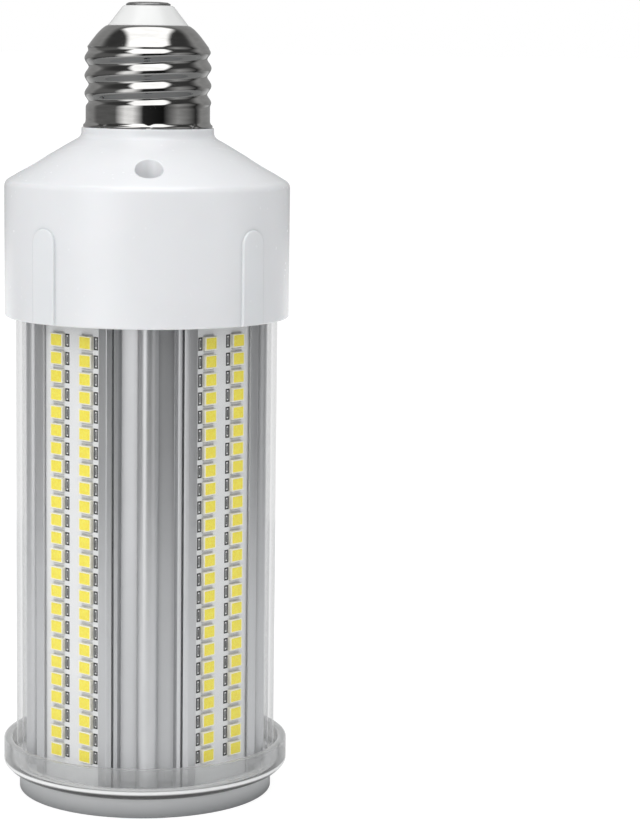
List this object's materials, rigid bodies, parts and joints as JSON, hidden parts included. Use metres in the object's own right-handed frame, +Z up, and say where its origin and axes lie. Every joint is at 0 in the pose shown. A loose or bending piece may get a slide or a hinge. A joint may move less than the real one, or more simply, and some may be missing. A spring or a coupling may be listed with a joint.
{
  "type": "corn led bulb",
  "caption": "Upright screw-base lamp: strips of diodes on an aluminium heat sink in a clear tube, white driver housing above, clear ring and grey cap below.",
  "frame": {"origin": "middle of the end cap's underside, on which the lamp stands with its screw base up", "axes": "+Z up along the lamp's axis towards the centre contact; +X and +Y through two of the four screw bosses, between the strips"},
  "size_m": [0.0602, 0.0602, 0.166],
  "materials": {
    "nickel": "nickel plated, bright",
    "white_insulator": "gloss",
    "contact_metal": "nickel plated, satin",
    "white_housing": "satin gloss",
    "clear_tube": "clear",
    "clear_ring": "clear",
    "grey_cap": "satin",
    "sink_aluminium": "extruded, satin",
    "board_white": "white solder mask, matte",
    "led_package": "yellow phosphor in a cream frame",
    "screw_steel": "zinc plated",
    "driver_laminate": "green solder mask",
    "plate_plastic": "matte",
    "can_sleeve": "gloss sleeve",
    "film_case": "gloss",
    "ferrite": "matte",
    "winding_tape": "tape",
    "chip_black": "matte",
    "fuse_body": "matte coating",
    "lead_red": "insulated",
    "lead_white": "insulated"
  },
  "bodies": {
    "root": {"screw_shell": "nickel", "base_insulator": "white_insulator", "centre_contact": "contact_metal", "driver_housing": "white_housing", "live_lead": "lead_red", "neutral_lead": "lead_white", "driver_board": "driver_laminate", "smoothing_capacitor": "can_sleeve", "film_capacitor": "film_case", "transformer_core": "ferrite", "transformer_winding": "winding_tape", "bridge_rectifier": "chip_black", "driver_chip": "chip_black", "fuse_resistor": "fuse_body", "divider_plate": "plate_plastic", "housing_screws": "screw_steel", "heat_sink": "sink_aluminium", "led_board_1": "board_white", "led_board_2": "board_white", "led_board_3": "board_white", "led_board_4": "board_white", "leds_1": "led_package", "leds_2": "led_package", "leds_3": "led_package", "leds_4": "led_package", "led_leads": "lead_white", "cover_tube": "clear_tube", "end_ring": "clear_ring", "end_cap": "grey_cap", "end_screws": "screw_steel"}
  },
  "joints": []
}
